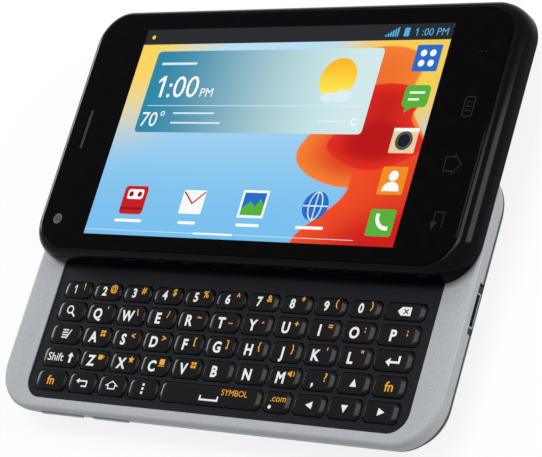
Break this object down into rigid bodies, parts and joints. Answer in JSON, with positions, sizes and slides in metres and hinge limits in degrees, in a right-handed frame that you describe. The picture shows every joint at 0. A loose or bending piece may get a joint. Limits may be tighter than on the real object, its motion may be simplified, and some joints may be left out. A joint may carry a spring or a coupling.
{
  "type": "slider phone",
  "caption": "Side-sliding smartphone, open: a black display slab on a silver-rimmed slab with a thumb keyboard.",
  "frame": {"origin": "centre of the lower slab's flat back face", "axes": "+X along the long side, +Y the way the display slides open, +Z out of the screen"},
  "size_m": [0.1209, 0.0983, 0.0145],
  "materials": {
    "silver_frame": "satin silver",
    "navy_panel": "fine matte, dark blue",
    "key_black": "satin black",
    "mat_rubber": "soft black",
    "circuit_board": "solder mask",
    "dome_metal": "bright",
    "chassis_metal": "cast",
    "case_dark": "matte dark grey",
    "cover_dark": "soft touch dark grey",
    "battery_wrap": "film wrap",
    "sheet_steel": "plain sheet",
    "component_black": "moulded",
    "gloss_black": "polished black",
    "touch_glass": "black printed glass, clear over the picture",
    "lcd_glass": "lit display"
  },
  "bodies": {
    "keyboard_slab": {"keyboard_frame": "silver_frame", "keypad_panel": "navy_panel", "keymat": "mat_rubber", "snap_domes": "dome_metal", "keypad_board": "circuit_board", "keypad_chassis": "chassis_metal", "rear_case": "case_dark", "battery_pack": "battery_wrap", "main_board": "circuit_board", "shield_cans": "sheet_steel", "rear_camera": "component_black", "loudspeaker": "component_black", "headset_jack": "component_black", "usb_socket": "sheet_steel", "case_screws": "sheet_steel", "slide_rails": "sheet_steel"},
    "display_slab": {"display_housing": "gloss_black", "display_chassis": "chassis_metal", "lcd_module": "lcd_glass", "cover_glass": "touch_glass", "earpiece": "component_black", "front_camera": "component_black", "slide_plate": "sheet_steel"},
    "battery_cover": {"battery_cover": "cover_dark"},
    "volume_up": {"volume_up_key": "silver_frame"},
    "volume_down": {"volume_down_key": "silver_frame"},
    "power": {"power_key": "silver_frame"},
    "number_keys": {"number_keys": "key_black"},
    "arrow_keys": {"arrow_keys": "key_black"},
    "function_keys": {"function_keys": "key_black"},
    "key_space": {"space_key": "key_black"},
    "key_enter": {"enter_key": "key_black"},
    "key_shift": {"shift_key": "key_black"},
    "key_backspace": {"backspace_key": "key_black"},
    "key_q": {"q_key": "key_black"},
    "key_w": {"w_key": "key_black"},
    "key_e": {"e_key": "key_black"},
    "key_r": {"r_key": "key_black"},
    "key_t": {"t_key": "key_black"},
    "key_y": {"y_key": "key_black"},
    "key_u": {"u_key": "key_black"},
    "key_i": {"i_key": "key_black"},
    "key_o": {"o_key": "key_black"},
    "key_p": {"p_key": "key_black"},
    "key_a": {"a_key": "key_black"},
    "key_s": {"s_key": "key_black"},
    "key_d": {"d_key": "key_black"},
    "key_f": {"f_key": "key_black"},
    "key_g": {"g_key": "key_black"},
    "key_h": {"h_key": "key_black"},
    "key_j": {"j_key": "key_black"},
    "key_k": {"k_key": "key_black"},
    "key_l": {"l_key": "key_black"},
    "key_z": {"z_key": "key_black"},
    "key_x": {"x_key": "key_black"},
    "key_c": {"c_key": "key_black"},
    "key_v": {"v_key": "key_black"},
    "key_b": {"b_key": "key_black"},
    "key_n": {"n_key": "key_black"},
    "key_m": {"m_key": "key_black"}
  },
  "joints": [
    {"name": "display_slide", "type": "slide", "parent": "keyboard_slab", "child": "display_slab", "axis": [0, 1, 0], "range_m": [-0.035, 0]},
    {"name": "battery_cover_lift", "type": "slide", "parent": "keyboard_slab", "child": "battery_cover", "axis": [0, 0, -1], "range_m": [0, 0.015]},
    {"name": "volume_up_press", "type": "slide", "parent": "keyboard_slab", "child": "volume_up", "axis": [0, 1, 0], "range_m": [0, 0.00035], "stiffness_N_per_m": 1500, "springref_m": -0.0002},
    {"name": "volume_down_press", "type": "slide", "parent": "keyboard_slab", "child": "volume_down", "axis": [0, 1, 0], "range_m": [0, 0.00035], "stiffness_N_per_m": 1500, "springref_m": -0.0002},
    {"name": "power_press", "type": "slide", "parent": "keyboard_slab", "child": "power", "axis": [1, 0, 0], "range_m": [0, 0.00035], "stiffness_N_per_m": 1500, "springref_m": -0.0002},
    {"name": "number_keys_press", "type": "slide", "parent": "keyboard_slab", "child": "number_keys", "axis": [0, 0, -1], "range_m": [0, 0.0003], "stiffness_N_per_m": 2000, "springref_m": -0.0002},
    {"name": "arrow_keys_press", "type": "slide", "parent": "keyboard_slab", "child": "arrow_keys", "axis": [0, 0, -1], "range_m": [0, 0.0003], "stiffness_N_per_m": 2000, "springref_m": -0.0002},
    {"name": "function_keys_press", "type": "slide", "parent": "keyboard_slab", "child": "function_keys", "axis": [0, 0, -1], "range_m": [0, 0.0003], "stiffness_N_per_m": 2000, "springref_m": -0.0002},
    {"name": "key_space_press", "type": "slide", "parent": "keyboard_slab", "child": "key_space", "axis": [0, 0, -1], "range_m": [0, 0.0003], "stiffness_N_per_m": 2000, "springref_m": -0.0002},
    {"name": "key_enter_press", "type": "slide", "parent": "keyboard_slab", "child": "key_enter", "axis": [0, 0, -1], "range_m": [0, 0.0003], "stiffness_N_per_m": 2000, "springref_m": -0.0002},
    {"name": "key_shift_press", "type": "slide", "parent": "keyboard_slab", "child": "key_shift", "axis": [0, 0, -1], "range_m": [0, 0.0003], "stiffness_N_per_m": 2000, "springref_m": -0.0002},
    {"name": "key_backspace_press", "type": "slide", "parent": "keyboard_slab", "child": "key_backspace", "axis": [0, 0, -1], "range_m": [0, 0.0003], "stiffness_N_per_m": 2000, "springref_m": -0.0002},
    {"name": "key_q_press", "type": "slide", "parent": "keyboard_slab", "child": "key_q", "axis": [0, 0, -1], "range_m": [0, 0.0003], "stiffness_N_per_m": 2000, "springref_m": -0.0002},
    {"name": "key_w_press", "type": "slide", "parent": "keyboard_slab", "child": "key_w", "axis": [0, 0, -1], "range_m": [0, 0.0003], "stiffness_N_per_m": 2000, "springref_m": -0.0002},
    {"name": "key_e_press", "type": "slide", "parent": "keyboard_slab", "child": "key_e", "axis": [0, 0, -1], "range_m": [0, 0.0003], "stiffness_N_per_m": 2000, "springref_m": -0.0002},
    {"name": "key_r_press", "type": "slide", "parent": "keyboard_slab", "child": "key_r", "axis": [0, 0, -1], "range_m": [0, 0.0003], "stiffness_N_per_m": 2000, "springref_m": -0.0002},
    {"name": "key_t_press", "type": "slide", "parent": "keyboard_slab", "child": "key_t", "axis": [0, 0, -1], "range_m": [0, 0.0003], "stiffness_N_per_m": 2000, "springref_m": -0.0002},
    {"name": "key_y_press", "type": "slide", "parent": "keyboard_slab", "child": "key_y", "axis": [0, 0, -1], "range_m": [0, 0.0003], "stiffness_N_per_m": 2000, "springref_m": -0.0002},
    {"name": "key_u_press", "type": "slide", "parent": "keyboard_slab", "child": "key_u", "axis": [0, 0, -1], "range_m": [0, 0.0003], "stiffness_N_per_m": 2000, "springref_m": -0.0002},
    {"name": "key_i_press", "type": "slide", "parent": "keyboard_slab", "child": "key_i", "axis": [0, 0, -1], "range_m": [0, 0.0003], "stiffness_N_per_m": 2000, "springref_m": -0.0002},
    {"name": "key_o_press", "type": "slide", "parent": "keyboard_slab", "child": "key_o", "axis": [0, 0, -1], "range_m": [0, 0.0003], "stiffness_N_per_m": 2000, "springref_m": -0.0002},
    {"name": "key_p_press", "type": "slide", "parent": "keyboard_slab", "child": "key_p", "axis": [0, 0, -1], "range_m": [0, 0.0003], "stiffness_N_per_m": 2000, "springref_m": -0.0002},
    {"name": "key_a_press", "type": "slide", "parent": "keyboard_slab", "child": "key_a", "axis": [0, 0, -1], "range_m": [0, 0.0003], "stiffness_N_per_m": 2000, "springref_m": -0.0002},
    {"name": "key_s_press", "type": "slide", "parent": "keyboard_slab", "child": "key_s", "axis": [0, 0, -1], "range_m": [0, 0.0003], "stiffness_N_per_m": 2000, "springref_m": -0.0002},
    {"name": "key_d_press", "type": "slide", "parent": "keyboard_slab", "child": "key_d", "axis": [0, 0, -1], "range_m": [0, 0.0003], "stiffness_N_per_m": 2000, "springref_m": -0.0002},
    {"name": "key_f_press", "type": "slide", "parent": "keyboard_slab", "child": "key_f", "axis": [0, 0, -1], "range_m": [0, 0.0003], "stiffness_N_per_m": 2000, "springref_m": -0.0002},
    {"name": "key_g_press", "type": "slide", "parent": "keyboard_slab", "child": "key_g", "axis": [0, 0, -1], "range_m": [0, 0.0003], "stiffness_N_per_m": 2000, "springref_m": -0.0002},
    {"name": "key_h_press", "type": "slide", "parent": "keyboard_slab", "child": "key_h", "axis": [0, 0, -1], "range_m": [0, 0.0003], "stiffness_N_per_m": 2000, "springref_m": -0.0002},
    {"name": "key_j_press", "type": "slide", "parent": "keyboard_slab", "child": "key_j", "axis": [0, 0, -1], "range_m": [0, 0.0003], "stiffness_N_per_m": 2000, "springref_m": -0.0002},
    {"name": "key_k_press", "type": "slide", "parent": "keyboard_slab", "child": "key_k", "axis": [0, 0, -1], "range_m": [0, 0.0003], "stiffness_N_per_m": 2000, "springref_m": -0.0002},
    {"name": "key_l_press", "type": "slide", "parent": "keyboard_slab", "child": "key_l", "axis": [0, 0, -1], "range_m": [0, 0.0003], "stiffness_N_per_m": 2000, "springref_m": -0.0002},
    {"name": "key_z_press", "type": "slide", "parent": "keyboard_slab", "child": "key_z", "axis": [0, 0, -1], "range_m": [0, 0.0003], "stiffness_N_per_m": 2000, "springref_m": -0.0002},
    {"name": "key_x_press", "type": "slide", "parent": "keyboard_slab", "child": "key_x", "axis": [0, 0, -1], "range_m": [0, 0.0003], "stiffness_N_per_m": 2000, "springref_m": -0.0002},
    {"name": "key_c_press", "type": "slide", "parent": "keyboard_slab", "child": "key_c", "axis": [0, 0, -1], "range_m": [0, 0.0003], "stiffness_N_per_m": 2000, "springref_m": -0.0002},
    {"name": "key_v_press", "type": "slide", "parent": "keyboard_slab", "child": "key_v", "axis": [0, 0, -1], "range_m": [0, 0.0003], "stiffness_N_per_m": 2000, "springref_m": -0.0002},
    {"name": "key_b_press", "type": "slide", "parent": "keyboard_slab", "child": "key_b", "axis": [0, 0, -1], "range_m": [0, 0.0003], "stiffness_N_per_m": 2000, "springref_m": -0.0002},
    {"name": "key_n_press", "type": "slide", "parent": "keyboard_slab", "child": "key_n", "axis": [0, 0, -1], "range_m": [0, 0.0003], "stiffness_N_per_m": 2000, "springref_m": -0.0002},
    {"name": "key_m_press", "type": "slide", "parent": "keyboard_slab", "child": "key_m", "axis": [0, 0, -1], "range_m": [0, 0.0003], "stiffness_N_per_m": 2000, "springref_m": -0.0002}
  ]
}
